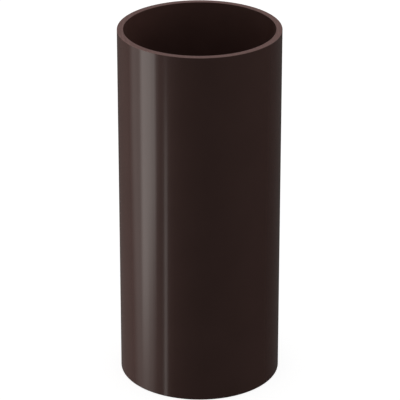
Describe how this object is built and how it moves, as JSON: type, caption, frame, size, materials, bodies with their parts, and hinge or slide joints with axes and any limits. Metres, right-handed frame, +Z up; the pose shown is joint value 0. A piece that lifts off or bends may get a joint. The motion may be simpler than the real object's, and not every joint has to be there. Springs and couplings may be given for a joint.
{
  "type": "downpipe",
  "caption": "Short straight length of round brown rainwater pipe in rigid plastic, with an even wall and plain ends sawn square.",
  "frame": {"origin": "on the pipe's axis, in the plane of the lower sawn end", "axes": "+Z up the pipe's axis, from the lower end to the upper end; the pipe is round, so X and Y are free"},
  "size_m": [0.11, 0.11, 0.25],
  "materials": {
    "brown_pvc": "semi-gloss extruded skin, paler matt sawn ends"
  },
  "bodies": {
    "root": {"pipe": "brown_pvc"}
  },
  "joints": []
}
